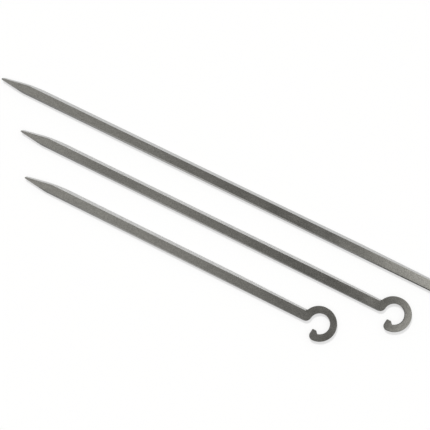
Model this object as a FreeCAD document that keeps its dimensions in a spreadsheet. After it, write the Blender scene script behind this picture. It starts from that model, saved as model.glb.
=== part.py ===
import FreeCAD, Part
import math
import os
import Sketcher

# A set of three flat kebab skewers, cut from steel plate in three lengths to one design.
# Each skewer is a single piece of plate: a pointed blade with a broad ground upper edge and a
# narrow ground lower edge, which steps up through an elbow into an open ring that is both its
# grip and its hanging hook.
# A skewer's own frame: X from the point to the ring, Y across the blade from its straight
# lower edge, Z up from the face that it lies on. The set's origin is the middle of its
# footprint, at the height of the surface that it lies on. Lengths are in millimetres.

SIZES = {
    # overall lengths, point to ring
    "long_length": 457.0,
    "medium_length": 381.0,
    "short_length": 305.0,
    # plate and blade
    "thickness": 3.0,
    "blade_width": 10.65,
    "edge_round": 0.3,
    # ground upper edge: wall left below it, its slope, and its width's share at the elbow
    "edge_land": 0.5,
    "grind_angle": 45.0,
    "grind_elbow_share": 0.92,
    # ground lower edge: its width at the point's end, its slope, and its width's share at the heel
    "low_grind_width": 1.4,
    "low_grind_angle": 25.0,
    "low_grind_heel_share": 0.52,
    # point: its round nose, the brow above it, and the tapers that lead to it
    "point_radius": 0.5,
    "point_height": 3.3,
    "brow_radius": 3.0,
    "brow_height": 4.95,
    "lower_taper": 22.5,
    "upper_taper": 29.9,
    "shoulder_radius": 150.0,
    "shoulder_inset": 25.5,
    "apex_rise": 0.7,
    # elbow
    "elbow_radius": 5.2,
    "elbow_reach": 15.4,
    "corner_radius": 1.0,
    "ease_length": 70.0,
    "ease_drop": 0.95,
    # ring
    "eye_radius": 9.0,
    "eye_height": 3.4,
    "ring_radius": 15.3,
    "ring_setback": 0.4,
    "ring_drop": 0.1,
    # lobe and lip at the ring's free end
    "lobe_radius": 4.15,
    "lobe_side": 4.0,
    "lobe_lean": 8.0,
    "lobe_corner_radius": 0.9,
    "lip_depth": 6.35,
    "lip_setback": 0.5,
    "lip_radius": 0.7,
    "lip_slope": 49.0,
    "lip_fillet": 0.9,
    # places of the shorter skewers beside the long one
    "medium_spacing": 34.9,
    "medium_start": 38.0,
    "short_spacing": 35.7,
    "short_start": 60.8,
    # how far the cutting sections run past the plate
    "overrun": 2.0,
}


def make_sheet(doc):
    """Write the driving dimensions into the document's spreadsheet."""
    sheet = doc.addObject("Spreadsheet::Sheet", "sizes")
    for row, (alias, value) in enumerate(SIZES.items(), start=1):
        sheet.set(f"A{row}", alias)
        sheet.set(f"B{row}", str(value))
        sheet.setAlias(f"B{row}", alias)
    doc.recompute()
    return sheet


def vector(x, y):
    return FreeCAD.Vector(x, y, 0)


def direction(degrees):
    return vector(math.cos(math.radians(degrees)), math.sin(math.radians(degrees)))


def toward(start, end):
    return (end - start).normalize()


class Profile:
    """A closed run of lines and arcs in a sketch, laid end to end."""

    def __init__(self, sketch):
        self.sketch = sketch
        self.runs = []
        self.rules = []
        self.bound = {}

    def line(self, start, end, joint="Tangent"):
        index = self.sketch.addGeometry(Part.LineSegment(start, end), False)
        self.runs.append((index, 1, 2, joint))
        return index

    def arc(self, centre, start, end, clockwise, joint="Tangent"):
        first, last = (end, start) if clockwise else (start, end)
        angles = [math.atan2(p.y - centre.y, p.x - centre.x) for p in (first, last)]
        circle = Part.Circle(centre, FreeCAD.Vector(0, 0, 1), (start - centre).Length)
        index = self.sketch.addGeometry(Part.ArcOfCircle(circle, *angles), False)
        entry, leave = (2, 1) if clockwise else (1, 2)
        self.runs.append((index, entry, leave, joint))
        return index

    def rule(self, kind, *places):
        self.rules.append(Sketcher.Constraint(kind, *places))

    def bind(self, name, expression, kind, *places):
        """A dimension whose value follows the spreadsheet."""
        self.bound[len(self.rules)] = (name, expression)
        self.rule(kind, *places, self.sketch.evalExpression(expression))

    def close(self):
        """Join each run to the next, by a tangent or at a plain corner, and set the rules."""
        following = self.runs[1:] + self.runs[:1]
        for (index, _, leave, joint), (after, entry, _, _) in zip(self.runs, following):
            self.rule(joint, index, leave, after, entry)
        self.sketch.addConstraint(self.rules)
        for index, (name, expression) in self.bound.items():
            self.sketch.renameConstraint(index, name)
            self.sketch.setExpression("Constraints." + name, expression)


ORIGIN = (-1, 1)
X_AXIS = -1
CENTRE = 3


def origin_plane(body, role):
    return next(f for f in body.Origin.OriginFeatures if f.Role == role)


def new_sketch(body, name, role):
    sketch = body.newObject("Sketcher::SketchObject", name)
    sketch.AttachmentSupport = [(origin_plane(body, role), "")]
    sketch.MapMode = "FlatFace"
    return sketch


def outline_points(size, length):
    """The centres and joins of the skewer's outline, from the named sizes."""
    p = {}
    ring_x = length - size["ring_radius"]
    p["eye"] = vector(ring_x + size["ring_setback"], size["eye_height"])
    p["ring"] = vector(ring_x, size["eye_height"] - size["ring_drop"])

    # point: a small round nose under a rounder brow, a straight lower taper, and an upper
    # taper that runs into the blade's edge over a long round shoulder
    p["nose"] = vector(size["point_radius"], size["point_height"])
    p["lower_shoulder"] = vector(size["lower_taper"], 0)
    reach = p["lower_shoulder"] - p["nose"]
    spread = math.asin(size["point_radius"] / reach.Length)
    lower = direction(math.degrees(math.atan2(reach.y, reach.x) + spread))
    p["nose_low"] = p["nose"] + vector(lower.y, -lower.x) * size["point_radius"]
    upper = vector(size["upper_taper"], size["blade_width"] - size["brow_height"]).normalize()
    across = vector(-upper.y, upper.x)
    base = vector(0, size["brow_height"]) - across * size["brow_radius"] - p["nose"]
    along = base.dot(upper)
    gap = size["brow_radius"] - size["point_radius"]
    step = -along + math.sqrt(along ** 2 - base.Length ** 2 + gap ** 2)
    p["brow"] = p["nose"] + base + upper * step
    p["brow_start"] = p["brow"] + across * size["brow_radius"]
    p["nose_high"] = p["nose"] + toward(p["brow"], p["nose"]) * size["point_radius"]
    ease = size["shoulder_radius"] * math.tan(math.atan2(upper.y, upper.x) / 2)
    p["shoulder_end"] = vector(size["upper_taper"] + ease, size["blade_width"])
    p["shoulder"] = p["shoulder_end"] - vector(0, size["shoulder_radius"])
    p["shoulder_start"] = p["shoulder"] + across * size["shoulder_radius"]

    # elbow: a convex heel below, and a small concave corner above
    heel_rise = size["elbow_radius"] - size["eye_height"]
    heel_gap = size["elbow_radius"] + size["eye_radius"]
    p["heel"] = vector(p["eye"].x - math.sqrt(heel_gap ** 2 - heel_rise ** 2), size["elbow_radius"])
    p["heel_start"] = vector(p["heel"].x, 0)
    p["eye_start"] = p["eye"] + toward(p["eye"], p["heel"]) * size["eye_radius"]
    p["ease_start"] = vector(
        p["eye"].x - size["elbow_reach"] - size["ease_length"], size["blade_width"])
    ease = vector(size["ease_length"], -size["ease_drop"]).normalize()
    lift = vector(-ease.y, ease.x)
    base = p["ease_start"] + lift * size["corner_radius"] - p["ring"]
    along = base.dot(ease)
    gap = size["ring_radius"] + size["corner_radius"]
    step = -along - math.sqrt(along ** 2 - base.Length ** 2 + gap ** 2)
    p["corner"] = p["ring"] + base + ease * step
    p["ease_end"] = p["corner"] - lift * size["corner_radius"]
    p["ring_end"] = p["ring"] + toward(p["ring"], p["corner"]) * size["ring_radius"]

    # lobe: the ring's free end, round outside and with a lip that stands into the eye
    lobe_x = p["eye"].x - size["lobe_side"] + size["lobe_radius"]
    lobe_gap = size["ring_radius"] - size["lobe_radius"]
    lobe_drop = math.sqrt(lobe_gap ** 2 - (lobe_x - p["ring"].x) ** 2)
    p["lobe"] = vector(lobe_x, p["ring"].y - lobe_drop)
    p["ring_start"] = p["ring"] + toward(p["ring"], p["lobe"]) * size["ring_radius"]
    side = direction(math.degrees(math.pi / 2) - size["lobe_lean"])
    outward = vector(-side.y, side.x)
    lip_top = p["eye"].y - size["lip_depth"]
    p["lobe_start"] = p["lobe"] + outward * size["lobe_radius"]
    corner_y = lip_top - size["lobe_corner_radius"]
    run = (corner_y + outward.y * size["lobe_corner_radius"] - p["lobe_start"].y) / side.y
    p["side_end"] = p["lobe_start"] + side * run
    p["lobe_corner"] = p["side_end"] - outward * size["lobe_corner_radius"]
    p["top_end"] = vector(p["lobe_corner"].x, lip_top)
    p["lip"] = vector(p["eye"].x - size["lip_setback"], lip_top - size["lip_radius"])
    p["top_start"] = vector(p["lip"].x, lip_top)
    flank = direction(-size["lip_slope"])
    facing = vector(-flank.y, flank.x)
    p["flank_end"] = p["lip"] + facing * size["lip_radius"]
    base = p["flank_end"] + facing * size["lip_fillet"] - p["eye"]
    along = base.dot(flank)
    gap = size["eye_radius"] - size["lip_fillet"]
    step = -along + math.sqrt(along ** 2 - base.Length ** 2 + gap ** 2)
    p["fillet"] = p["eye"] + base + flank * step
    p["flank_start"] = p["fillet"] - facing * size["lip_fillet"]
    p["eye_end"] = p["eye"] + toward(p["eye"], p["fillet"]) * size["eye_radius"]
    return p


def draw_outline(body, size, length_name):
    """The plan of the whole skewer, anticlockwise from the start of its lower edge."""
    sketch = new_sketch(body, "outline", "XY_Plane")
    p = outline_points(size, size[length_name])
    run = Profile(sketch)

    low = run.line(p["lower_shoulder"], p["heel_start"])
    heel = run.arc(p["heel"], p["heel_start"], p["eye_start"], clockwise=False)
    eye = run.arc(p["eye"], p["eye_start"], p["eye_end"], clockwise=True)
    fillet = run.arc(p["fillet"], p["eye_end"], p["flank_start"], clockwise=True)
    flank = run.line(p["flank_start"], p["flank_end"])
    lip = run.arc(p["lip"], p["flank_end"], p["top_start"], clockwise=False)
    top = run.line(p["top_start"], p["top_end"])
    corner = run.arc(p["lobe_corner"], p["top_end"], p["side_end"], clockwise=False)
    side = run.line(p["side_end"], p["lobe_start"])
    lobe = run.arc(p["lobe"], p["lobe_start"], p["ring_start"], clockwise=False)
    ring = run.arc(p["ring"], p["ring_start"], p["ring_end"], clockwise=False)
    inner = run.arc(p["corner"], p["ring_end"], p["ease_end"], clockwise=True)
    ease = run.line(p["ease_end"], p["ease_start"], joint="Coincident")
    high = run.line(p["ease_start"], p["shoulder_end"])
    shoulder = run.arc(p["shoulder"], p["shoulder_end"], p["shoulder_start"], clockwise=False)
    upper = run.line(p["shoulder_start"], p["brow_start"])
    brow = run.arc(p["brow"], p["brow_start"], p["nose_high"], clockwise=False)
    nose = run.arc(p["nose"], p["nose_high"], p["nose_low"], clockwise=False)
    run.line(p["nose_low"], p["lower_shoulder"], joint="Coincident")

    for level in (low, top, high):
        run.rule("Horizontal", level)
    run.rule("PointOnObject", low, 1, X_AXIS)

    run.bind("lower_taper", "sizes.lower_taper", "DistanceX", *ORIGIN, low, 1)
    run.bind("nose_along", "sizes.point_radius", "DistanceX", *ORIGIN, nose, CENTRE)
    run.bind("nose_across", "sizes.point_height", "DistanceY", *ORIGIN, nose, CENTRE)
    taper = "atan((sizes.blade_width - sizes.brow_height) / sizes.upper_taper)"
    run.bind("taper_lean", taper, "Angle", X_AXIS, 1, upper, 2)
    run.bind("upper_taper", f"sizes.upper_taper + sizes.shoulder_radius * tan({taper} / 2)",
             "DistanceX", *ORIGIN, shoulder, 1)
    run.bind("blade_width", "sizes.blade_width", "DistanceY", *ORIGIN, high, 1)
    run.bind("ring_along", f"sizes.{length_name} - sizes.ring_radius",
             "DistanceX", *ORIGIN, ring, CENTRE)
    run.bind("ring_across", "sizes.ring_drop", "DistanceY", ring, CENTRE, eye, CENTRE)
    run.bind("ring_setback", "sizes.ring_setback", "DistanceX", ring, CENTRE, eye, CENTRE)
    run.bind("eye_height", "sizes.eye_height", "DistanceY", *ORIGIN, eye, CENTRE)
    run.bind("ease_start", "sizes.elbow_reach + sizes.ease_length",
             "DistanceX", high, 1, eye, CENTRE)
    run.bind("ease_lean", "atan(sizes.ease_drop / sizes.ease_length)", "Angle", ease, 1, X_AXIS, 2)
    run.bind("lobe_side", "sizes.lobe_radius - sizes.lobe_side",
             "DistanceX", eye, CENTRE, lobe, CENTRE)
    run.bind("lobe_lean", "90 deg - sizes.lobe_lean * 1 deg", "Angle", X_AXIS, 1, side, 2)
    run.bind("lip_depth", "sizes.lip_depth", "DistanceY", top, 1, eye, CENTRE)
    run.bind("lip_setback", "sizes.lip_setback", "DistanceX", lip, CENTRE, eye, CENTRE)
    run.bind("lip_slope", "180 deg - sizes.lip_slope * 1 deg", "Angle", X_AXIS, 1, flank, 1)
    radii = {
        "elbow_radius": heel, "eye_radius": eye, "lip_fillet": fillet, "lip_radius": lip,
        "lobe_corner_radius": corner, "lobe_radius": lobe, "ring_radius": ring,
        "corner_radius": inner, "shoulder_radius": shoulder, "brow_radius": brow,
        "point_radius": nose,
    }
    for alias, arc in radii.items():
        run.bind(alias, f"sizes.{alias}", "Radius", arc)
    run.close()
    return sketch


# the ground edges: width seen from above, rise over run of the slope, and side of the blade
UPPER_RISE = "tan(sizes.grind_angle * 1 deg)"
UPPER_WIDTH = f"((sizes.thickness - sizes.edge_land) / {UPPER_RISE})"
UPPER_EDGE = (UPPER_WIDTH, UPPER_RISE, 1)
LOWER_EDGE = ("sizes.low_grind_width", "tan(sizes.low_grind_angle * 1 deg)", -1)


def draw_grind(body, name, size, edge):
    """A right-angled cutting section whose long side is the ground slope of one edge.

    The slope meets the plate's upper face above the sketch's own origin. All three corners
    stand clear of the plate.
    """
    sketch = new_sketch(body, name + "_section", "YZ_Plane")
    width, rise, side = edge
    reach = f"({width} + sizes.overrun + sizes.overrun / {rise})"
    high = size["thickness"] + size["overrun"]
    far = side * (size["blade_width"] + size["overrun"])
    run = Profile(sketch)
    top = run.line(vector(0, high), vector(far, high), joint="Coincident")
    drop = run.line(vector(far, high), vector(far, 0), joint="Coincident")
    run.line(vector(far, 0), vector(0, high), joint="Coincident")
    run.rule("Horizontal", top)
    run.rule("Vertical", drop)
    origin_to_far = [ORIGIN, (top, 2)][::side]
    near_to_far = [(top, 1), (top, 2)][::side]
    run.bind("outer", f"{width} + sizes.overrun", "DistanceX", *origin_to_far[0], *origin_to_far[1])
    run.bind("roof", "sizes.thickness + sizes.overrun", "DistanceY", *ORIGIN, top, 2)
    run.bind("reach", reach, "DistanceX", *near_to_far[0], *near_to_far[1])
    run.bind("fall", f"{reach} * {rise}", "DistanceY", drop, 2, drop, 1)
    run.close()
    return sketch


def add_grind(body, name, size, edge, start, slant, length, toward_ring):
    """Cut the ground slope of one edge along a line in plan.

    The line starts at a place (x, y) on the upper face and runs toward the ring or the point.
    Its slant is how far it moves across the blade, in +Y, for each unit along it. The section
    stays square to the blade, so two cuts that start at one place meet without a step.
    """
    section = draw_grind(body, name, size, edge)
    section.setExpression("AttachmentOffset.Base.x", start[1])
    section.setExpression("AttachmentOffset.Base.z", start[0])
    cut = body.newObject("PartDesign::Pocket", name)
    cut.Profile = section
    cut.Type = "Length"
    cut.UseCustomVector = True
    cut.AlongSketchNormal = True
    cut.Direction = FreeCAD.Vector(1 if toward_ring else -1, 0, 0)
    cut.setExpression("Direction.y", slant)
    cut.setExpression("Length", length)
    body.Tip = cut


def make_skewer(doc, size, label, length_name, along, across):
    """One skewer: plate blank, softened edges, then the grinds of its two edges."""
    body = doc.addObject("PartDesign::Body", label)
    body.Label = label

    blank = body.newObject("PartDesign::Pad", "blank")
    blank.Profile = draw_outline(body, size, length_name)
    blank.setExpression("Length", "sizes.thickness")
    doc.recompute()

    soft = body.newObject("PartDesign::Fillet", "soft_edges")
    rims = [f"Edge{number}" for number, edge in enumerate(blank.Shape.Edges, start=1)
            if edge.BoundBox.ZLength < size["edge_round"]]
    soft.Base = (blank, rims)
    soft.setExpression("Radius", "sizes.edge_round")

    # the blade's upper edge is ground from its middle both ways, less deep towards the elbow
    elbow = f"(sizes.{length_name} - sizes.ring_radius + sizes.ring_setback - sizes.elbow_reach)"
    middle = (f"{elbow} / 2", f"sizes.blade_width - {UPPER_WIDTH}")
    slant = f"(1 - sizes.grind_elbow_share) * {UPPER_WIDTH} / ({elbow} / 2)"
    add_grind(body, "grind_to_point", size, UPPER_EDGE, middle, "0",
              f"{elbow} / 2 + sizes.overrun", toward_ring=False)
    add_grind(body, "grind_to_elbow", size, UPPER_EDGE, middle, slant, f"{elbow} / 2",
              toward_ring=True)

    # the same slope runs on along the upper side of the point, from just behind the shoulder
    rise = f"({middle[1]} - sizes.point_height - sizes.apex_rise)"
    slant = f"({rise} / (sizes.shoulder_inset - sizes.point_radius))"
    behind = ("sizes.shoulder_inset + sizes.overrun", f"{middle[1]} + sizes.overrun * {slant}")
    add_grind(body, "grind_taper", size, UPPER_EDGE, behind, f"-{slant}",
              "sizes.shoulder_inset + 2 * sizes.overrun", toward_ring=False)

    # the lower edge is ground from past the heel's start to the point, and widens on its way
    heel = f"({elbow} + sizes.elbow_radius)"
    start = (heel, "sizes.low_grind_width * sizes.low_grind_heel_share")
    slant = f"(1 - sizes.low_grind_heel_share) * sizes.low_grind_width / {heel}"
    add_grind(body, "grind_lower", size, LOWER_EDGE, start, slant, f"{heel} + sizes.overrun",
              toward_ring=False)

    body.setExpression("Placement.Base.x", along)
    body.setExpression("Placement.Base.y", across)
    doc.recompute()
    return body


def main():
    doc = FreeCAD.newDocument("kebab_skewers")
    sheet = make_sheet(doc)
    size = {alias: sheet.get(alias) for alias in SIZES}

    first = "-sizes.long_length / 2"
    front = "((sizes.medium_spacing + sizes.short_spacing) / 2 - sizes.eye_height + sizes.ring_drop)"
    skewers = {
        "long_skewer": ("long_length", first, front),
        "medium_skewer": (
            "medium_length", f"{first} + sizes.medium_start", f"{front} - sizes.medium_spacing"),
        "short_skewer": (
            "short_length", f"{first} + sizes.short_start",
            f"{front} - sizes.medium_spacing - sizes.short_spacing"),
    }
    bodies = [make_skewer(doc, size, label, *rest) for label, rest in skewers.items()]
    doc.recompute()

    for item in doc.Objects:
        if {"Invalid", "Error"} & set(item.State):
            raise RuntimeError(f"{item.Label} did not recompute: {item.State}")
    for body in bodies:
        shape = body.Shape
        if shape.isNull() or not shape.isValid() or len(shape.Solids) != 1:
            raise RuntimeError(f"{body.Label} is not one valid solid")
        print(body.Label, f"volume {shape.Volume:.1f} mm3", shape.optimalBoundingBox())

    os.makedirs("parts", exist_ok=True)
    for body in bodies:
        body.Shape.exportStep(os.path.join("parts", body.Label + ".step"))


main()
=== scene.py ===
import math

import bpy
from mathutils import Matrix, Vector

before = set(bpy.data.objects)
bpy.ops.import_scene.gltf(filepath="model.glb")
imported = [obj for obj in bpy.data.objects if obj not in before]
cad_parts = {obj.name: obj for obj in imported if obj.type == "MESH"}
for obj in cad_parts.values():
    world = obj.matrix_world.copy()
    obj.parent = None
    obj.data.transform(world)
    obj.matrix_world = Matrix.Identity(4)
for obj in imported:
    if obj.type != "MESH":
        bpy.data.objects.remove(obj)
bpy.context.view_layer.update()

# Three flat steel kebab skewers of one design, in three lengths, lying side by side on a white
# table. Metres and degrees, with X along the blades from the points to the rings and Z up. The
# skewers are shown as they are built: what is made here is their steel, the table, the light
# and the view.

ALONG = (1.0, 0.0, 0.0)
UP = (0.0, 0.0, 1.0)
WHITE = (1.0, 1.0, 1.0, 1.0)

# the photograph's view: from high above, nearly straight down, turned so that the blades run
# down to the right
IMAGE_SIDE = 430
CAMERA_PLACE = Vector((0.0477, -0.0201, 0.600))
CAMERA_AIM = Vector((-0.0003, 0.0095, 0.0))
CAMERA_TURN = 26.08
FOCAL_PIXELS = 684.6
SENSOR_MM = 36.0

# the table: its top lies just under the skewers, and the wash is its share of plain white
FLOOR_SIDE = 8.0
FLOOR_DROP = 0.00005
FLOOR_WHITE = (0.905, 0.903, 0.894, 1.0)
FLOOR_WASH_SHARE = 0.60

# a broad soft lamp beyond the picture's top
LAMP_BEARING = 108.0
LAMP_HEIGHT = 46.0
LAMP_ANGLE = 8.0
LAMP_STRENGTH = 2.50

# the white room: its brightness where it shows, and for the light that it gives
ROOM_SEEN = 1.0
ROOM_LIGHT = 0.64
# it is darker overhead: its brightness there, by how far a direction leans across a dark band,
# and how high it starts
BAND_BEARING = 31.0
OVERHEAD = [
    (-0.600, 1.000),
    (-0.350, 0.720),
    (-0.160, 0.600),
    (-0.110, 0.570),
    (-0.060, 0.480),
    (-0.020, 0.400),
    (0.020, 0.310),
    (0.060, 0.215),
    (0.090, 0.200),
    (0.120, 0.225),
    (0.145, 0.300),
    (0.165, 0.430),
    (0.185, 0.660),
    (0.205, 1.000),
    (0.225, 1.300),
    (0.260, 1.300),
]
OVERHEAD_LOW = 0.40
OVERHEAD_HIGH = 0.65
# and it has a darker side, beyond the picture's bottom and above the horizon
DIM_BEARING = -130.0
DIM_START = 0.15
DIM_FULL = 0.60
DIM_LEVEL = 0.15
DIM_LOW = 0.10
DIM_HIGH = 0.22

# the steel: its rolled faces, its cut walls and its softened corners, with walls and corners
# painted dark as painted shade
FACE_STEEL = (0.376, 0.367, 0.336)
SHADED_WALL_STEEL = (0.085, 0.083, 0.078)
SHADED_CORNER_STEEL = (0.16, 0.157, 0.148)
FACE_ROUGHNESS = 0.16
WALL_ROUGHNESS = 0.50
CORNER_ROUGHNESS = 0.22
ROUGHNESS_SWING = 0.03

# its ground edges, the broad upper one and the narrow lower one: the steel, and the slopes
# the medium and short skewers' upper ground edges are painted lighter than the long one's, a
# painted reflection
GROUND_STEEL_AND_SHEEN = {
    "long_skewer": (0.56, 0.56, 0.555),
    "medium_skewer": (0.66, 0.658, 0.65),
    "short_skewer": (0.66, 0.658, 0.65),
}
LOW_GROUND_STEEL = (0.46, 0.455, 0.44)
# the lower one is painted brightest in the middle of the blade, a painted reflection: its levels at
# the ends and there, and the shares of the length over which it rises and falls
LOW_GROUND_SHEEN_LEVELS = (0.58, 1.08)
LOW_GROUND_RISE = (0.00, 0.50)
LOW_GROUND_FALL = (0.88, 0.50)
GROUND_ROUGHNESS = 0.42
GROUND_SLOPE = 45.0
LOW_GROUND_SLOPE = -25.0

# what belongs to each: how closely a surface fits a ground slope, and how level it lies
GROUND_FIT = (0.975, 0.990)
LOW_GROUND_FIT = (0.985, 0.995)
CORNER_LEVEL = (0.995, 0.97)
WALL_LEVEL = (0.35, 0.15)

# textures: grains per metre along X, Y and Z, and the darkest and lightest tone
MOTTLE = ((55.0, 90.0, 90.0), 0.97, 1.03)
SPECKLE = ((2800.0, 2800.0, 2800.0), 0.42, 1.58)
GRAIN = ((160.0, 2600.0, 2600.0), 0.88, 1.12)
GROUND_MARKS = ((3600.0, 90.0, 90.0), 0.88, 1.08)
WALL_RIPPLES = ((2300.0, 2300.0, 130.0), 0.75, 1.25)
NOISE_DETAIL = 3.0
NOISE_LOW = 0.25
NOISE_HIGH = 0.75
BUMP_STRENGTH = 0.06
BUMP_HEIGHT = 0.00002

# painted shade: the long skewer's lower ground edge is painted dark towards its ring, where it
# shows as a dark shaded line
SHADED_EDGE_SKEWER = "long_skewer"
PAINTED_SHADE_STEEL = (0.11, 0.108, 0.102)
SHADE_START = 0.110
SHADE_FULL = 0.185

# the medium skewer's ring is a little bent: its lean per metre, along a bearing in the picture
BENT_SKEWER = "medium_skewer"
BENT_CENTRE = Vector((0.1756, 0.0005, 0.003))
BENT_BEARING = -65.0
BENT_LEAN = 1.45
BENT_LEVEL = 0.003
BENT_NEAR = 0.014
BENT_FAR = 0.024
# and its blade leans a little, most at one place near its point
WAVE_PLACE = -0.107
WAVE_REACH = 0.068
WAVE_LEAN = 0.034


def in_use(sockets):
    """Those of a node's sockets that its settings leave in use."""
    return [socket for socket in sockets if socket.enabled]


class Nodes:
    """Adds nodes to one node tree and links them."""

    def __init__(self, tree):
        self.tree = tree
        tree.nodes.clear()

    def put(self, socket, value):
        """Gives a socket a value, or links another node's output to it."""
        if isinstance(value, bpy.types.NodeSocket):
            self.tree.links.new(value, socket)
        else:
            socket.default_value = value

    def feed(self, node, name, value):
        """Fills a node's input, by its name."""
        self.put(next(socket for socket in in_use(node.inputs) if socket.name == name), value)

    def add(self, kind, settings=None, **inputs):
        """A node with its settings, and its inputs by name."""
        node = self.tree.nodes.new(kind)
        for name, value in (settings or {}).items():
            setattr(node, name, value)
        for name, value in inputs.items():
            self.feed(node, name.replace("_", " "), value)
        return node

    def made(self, kind, settings, *values):
        """The output of a node with its settings, and its first inputs in order."""
        node = self.add(kind, settings)
        for socket, value in zip(in_use(node.inputs), values):
            self.put(socket, value)
        return in_use(node.outputs)[0]

    def math(self, operation, *values):
        return self.made("ShaderNodeMath", {"operation": operation}, *values)

    def vector(self, operation, *values):
        return self.made("ShaderNodeVectorMath", {"operation": operation}, *values)

    def spread(self, value, low, high, new_low=0.0, new_high=1.0, smooth=True):
        """Maps a value from one range to another, held at its ends."""
        settings = {"interpolation_type": "SMOOTHSTEP" if smooth else "LINEAR"}
        return self.made("ShaderNodeMapRange", settings, value, low, high, new_low, new_high)

    def between(self, share, first, second):
        """A number between two, by a share."""
        return self.made("ShaderNodeMix", {"data_type": "FLOAT"}, share, first, second)

    def blend(self, share, *colours):
        """A colour between two, by a share."""
        opaque = [colour if isinstance(colour, bpy.types.NodeSocket) else (*colour, 1.0)
                  for colour in colours]
        return self.made("ShaderNodeMix", {"data_type": "RGBA"}, share, *opaque)

    def noise(self, point, texture):
        """Noise from 0 to 1, with a texture's grains per metre along each axis."""
        scaled = self.vector("MULTIPLY", point, texture[0])
        node = self.add("ShaderNodeTexNoise", Vector=scaled, Scale=1.0, Detail=NOISE_DETAIL)
        return node.outputs["Fac"]

    def tone(self, noise, texture):
        """The tone of a texture's noise, between its darkest and its lightest."""
        return self.spread(noise, NOISE_LOW, NOISE_HIGH, *texture[1:], smooth=False)


def slope_normal(degrees):
    """The way a surface faces that is tipped about X by an angle, towards Y."""
    slope = math.radians(degrees)
    return (0.0, math.sin(slope), math.cos(slope))


def picture_bearing(degrees):
    """A level direction, by its angle above the picture's right."""
    angle = math.radians(CAMERA_TURN + degrees)
    return Vector((math.cos(angle), math.sin(angle), 0.0))


def ends_along(skewer):
    """Where a skewer starts and ends along X."""
    places = [corner[0] for corner in skewer.bound_box]
    return min(places), max(places)


def lean_of_bend(n, point, along):
    """How far the bent skewer leans at a place, over its ring and near its point."""
    from_ring = n.vector("SUBTRACT", point, BENT_CENTRE)
    ring = n.spread(n.vector("LENGTH", from_ring), BENT_NEAR, BENT_FAR, 1.0, 0.0)
    lean = n.vector("DOT_PRODUCT", from_ring, picture_bearing(BENT_BEARING))
    lean = n.math("ADD", n.math("MULTIPLY", lean, BENT_LEAN), BENT_LEVEL)
    from_wave = n.math("ABSOLUTE", n.math("SUBTRACT", along, WAVE_PLACE))
    wave = n.spread(from_wave, 0.0, WAVE_REACH, WAVE_LEAN, 0.0)
    return n.math("ADD", n.math("MULTIPLY", lean, ring), wave)


def low_ground_steel_and_painted_light(n, skewer, along):
    """The lower ground edge's steel with painted reflection, brightest mid-blade, and painted shade
    on one skewer.
    """
    share = n.spread(along, *ends_along(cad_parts[skewer]), smooth=False)
    rise = n.spread(share, *LOW_GROUND_RISE)
    fall = n.spread(share, *LOW_GROUND_FALL)
    # painted reflection: the lower ground edge painted brightest in the middle of the blade
    level = n.between(n.math("MULTIPLY", rise, fall), *LOW_GROUND_SHEEN_LEVELS)
    colour = n.vector("SCALE", LOW_GROUND_STEEL, level)
    # painted shade on the long skewer's lower ground edge towards its ring
    if skewer == SHADED_EDGE_SKEWER:
        colour = n.blend(n.spread(along, SHADE_START, SHADE_FULL), colour, PAINTED_SHADE_STEEL)
    return colour


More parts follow.
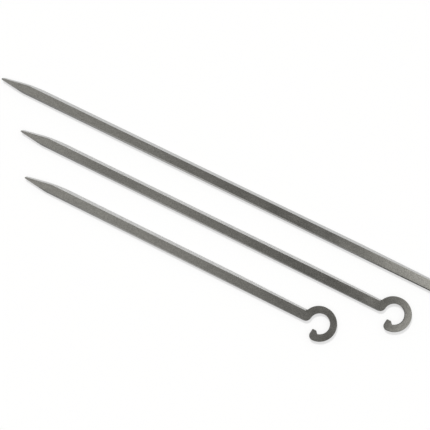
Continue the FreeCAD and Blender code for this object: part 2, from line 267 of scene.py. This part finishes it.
def steel(skewer):
    """Plain stainless plate: rolled faces with a fine lengthwise grain, ground edges with marks
    across them and painted reflection, cut walls with upright ripples, and lightly burnished
    corners, the walls and corners painted dark as painted shade."""
    material = bpy.data.materials.new(skewer + "_steel")
    material.use_nodes = True
    n = Nodes(material.node_tree)
    place = n.add("ShaderNodeTexCoord")
    point = place.outputs["Object"]
    normal = place.outputs["Normal"]
    along = n.vector("DOT_PRODUCT", point, ALONG)

    level = n.math("ABSOLUTE", n.vector("DOT_PRODUCT", normal, UP))
    corner = n.spread(level, *CORNER_LEVEL)
    wall = n.spread(level, *WALL_LEVEL)
    high_fit = n.vector("DOT_PRODUCT", normal, slope_normal(GROUND_SLOPE))
    high_ground = n.spread(high_fit, *GROUND_FIT)
    low_fit = n.vector("DOT_PRODUCT", normal, slope_normal(LOW_GROUND_SLOPE))
    low_ground = n.spread(low_fit, *LOW_GROUND_FIT)
    ground = n.math("MAXIMUM", high_ground, low_ground)

    mottle = n.noise(point, MOTTLE)
    speckle = n.noise(point, SPECKLE)
    grain = n.noise(point, GRAIN)
    marks = n.noise(point, GROUND_MARKS)
    ripples = n.noise(point, WALL_RIPPLES)

    # painted shade: the softened corners and the cut walls are painted darker than the faces
    colour = n.blend(corner, FACE_STEEL, SHADED_CORNER_STEEL)
    colour = n.blend(wall, colour, SHADED_WALL_STEEL)
    # the upper ground edge, painted lighter on the medium and short skewers as a painted reflection
    colour = n.blend(high_ground, colour, GROUND_STEEL_AND_SHEEN[skewer])
    colour = n.blend(low_ground, colour, low_ground_steel_and_painted_light(n, skewer, along))

    tone = n.math("MULTIPLY", n.tone(mottle, MOTTLE), n.tone(speckle, SPECKLE))
    tone = n.math("MULTIPLY", tone, n.tone(grain, GRAIN))
    tone = n.between(wall, tone, n.tone(ripples, WALL_RIPPLES))
    tone = n.between(ground, tone, n.tone(marks, GROUND_MARKS))
    colour = n.vector("SCALE", colour, tone)

    rough = n.between(corner, FACE_ROUGHNESS, CORNER_ROUGHNESS)
    rough = n.between(wall, rough, WALL_ROUGHNESS)
    rough = n.between(ground, rough, GROUND_ROUGHNESS)
    swing = n.spread(mottle, NOISE_LOW, NOISE_HIGH, -ROUGHNESS_SWING, ROUGHNESS_SWING, smooth=False)
    rough = n.math("ADD", rough, swing)

    height = n.between(wall, grain, ripples)
    height = n.between(ground, height, marks)
    bump = n.add("ShaderNodeBump", Strength=BUMP_STRENGTH, Distance=BUMP_HEIGHT, Height=height)
    if skewer == BENT_SKEWER:
        lean = lean_of_bend(n, point, along)
        tilt = n.vector("SCALE", picture_bearing(BAND_BEARING), lean)
        tilted = n.vector("ADD", n.add("ShaderNodeNewGeometry").outputs["Normal"], tilt)
        n.feed(bump, "Normal", n.vector("NORMALIZE", tilted))

    shader = n.add("ShaderNodeBsdfPrincipled", Metallic=1.0, Base_Color=colour,
                   Roughness=rough, Normal=bump.outputs[0])
    n.add("ShaderNodeOutputMaterial", Surface=shader.outputs[0])
    return material


def dress():
    """Gives each skewer its steel."""
    for name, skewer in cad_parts.items():
        skewer.data.materials.clear()
        skewer.data.materials.append(steel(name))


def shown(n):
    """1 on rays that show the table and the room themselves, also by way of metal or glass, and
    0 on those that carry their light."""
    path = n.add("ShaderNodeLightPath").outputs
    seen = n.math("MAXIMUM", path["Is Camera Ray"], path["Is Glossy Ray"])
    return n.math("MAXIMUM", seen, path["Is Transmission Ray"])


def add_table():
    """A plain white table, washed towards white where it shows."""
    bpy.ops.mesh.primitive_plane_add(size=FLOOR_SIDE, location=(0, 0, -FLOOR_DROP))
    table = bpy.context.object
    table.name = "table"
    material = bpy.data.materials.new("white_table")
    material.use_nodes = True
    n = Nodes(material.node_tree)
    share = n.math("MULTIPLY", shown(n), FLOOR_WASH_SHARE)
    lit = n.add("ShaderNodeBsdfDiffuse", Color=FLOOR_WHITE)
    wash = n.add("ShaderNodeEmission", Color=WHITE, Strength=1.0)
    mixed = n.made("ShaderNodeMixShader", None, share, lit.outputs[0], wash.outputs[0])
    n.add("ShaderNodeOutputMaterial", Surface=mixed)
    table.data.materials.append(material)


def add_room():
    """A white room that is darker overhead, in a band across the picture, and on one side."""
    world = bpy.data.worlds.new("room")
    bpy.context.scene.world = world
    world.use_nodes = True
    n = Nodes(world.node_tree)
    way = n.add("ShaderNodeTexCoord").outputs["Generated"]
    lean = n.vector("DOT_PRODUCT", way, picture_bearing(BAND_BEARING))
    rise = n.vector("DOT_PRODUCT", way, UP)

    first, last = OVERHEAD[0][0], OVERHEAD[-1][0]
    ramp = n.add("ShaderNodeValToRGB", Fac=n.spread(lean, first, last, smooth=False))
    ramp.color_ramp.interpolation = "EASE"
    stops = ramp.color_ramp.elements
    for across, _ in OVERHEAD[1:-1]:
        stops.new((across - first) / (last - first))
    for stop, (_, level) in zip(stops, OVERHEAD):
        stop.color = (level, level, level, 1.0)

    side = n.vector("DOT_PRODUCT", way, picture_bearing(DIM_BEARING))
    walls = n.spread(side, DIM_START, DIM_FULL, 1.0, DIM_LEVEL)
    walls = n.between(n.spread(rise, DIM_LOW, DIM_HIGH), 1.0, walls)
    overhead = n.spread(rise, OVERHEAD_LOW, OVERHEAD_HIGH)
    strength = n.between(overhead, walls, ramp.outputs[0])
    strength = n.math("MULTIPLY", strength, n.between(shown(n), ROOM_LIGHT, ROOM_SEEN))
    light = n.add("ShaderNodeBackground", Color=WHITE, Strength=strength)
    n.add("ShaderNodeOutputWorld", Surface=light.outputs[0])


def add_lamp():
    """A broad soft lamp, seen from the table as a wide disc."""
    lamp = bpy.data.lights.new("lamp", "SUN")
    lamp.energy = LAMP_STRENGTH
    lamp.angle = math.radians(LAMP_ANGLE)
    holder = bpy.data.objects.new("lamp", lamp)
    rise = math.radians(LAMP_HEIGHT)
    toward = picture_bearing(LAMP_BEARING) * math.cos(rise) + Vector(UP) * math.sin(rise)
    holder.rotation_euler = toward.to_track_quat("Z", "Y").to_euler()
    holder.visible_glossy = False
    bpy.context.scene.collection.objects.link(holder)


def add_camera():
    """The photograph's view, with the picture's right along a level direction."""
    camera = bpy.data.cameras.new("camera")
    camera.sensor_width = SENSOR_MM
    camera.lens = SENSOR_MM * FOCAL_PIXELS / IMAGE_SIDE
    holder = bpy.data.objects.new("camera", camera)
    back = (CAMERA_PLACE - CAMERA_AIM).normalized()
    right = picture_bearing(0)
    right = (right - right.dot(back) * back).normalized()
    up = back.cross(right)
    turn = Matrix((right, up, back)).transposed().to_4x4()
    holder.matrix_world = Matrix.Translation(CAMERA_PLACE) @ turn
    bpy.context.scene.collection.objects.link(holder)
    bpy.context.scene.camera = holder


dress()
add_table()
add_room()
add_lamp()
add_camera()
bpy.context.scene.view_settings.view_transform = "Standard"
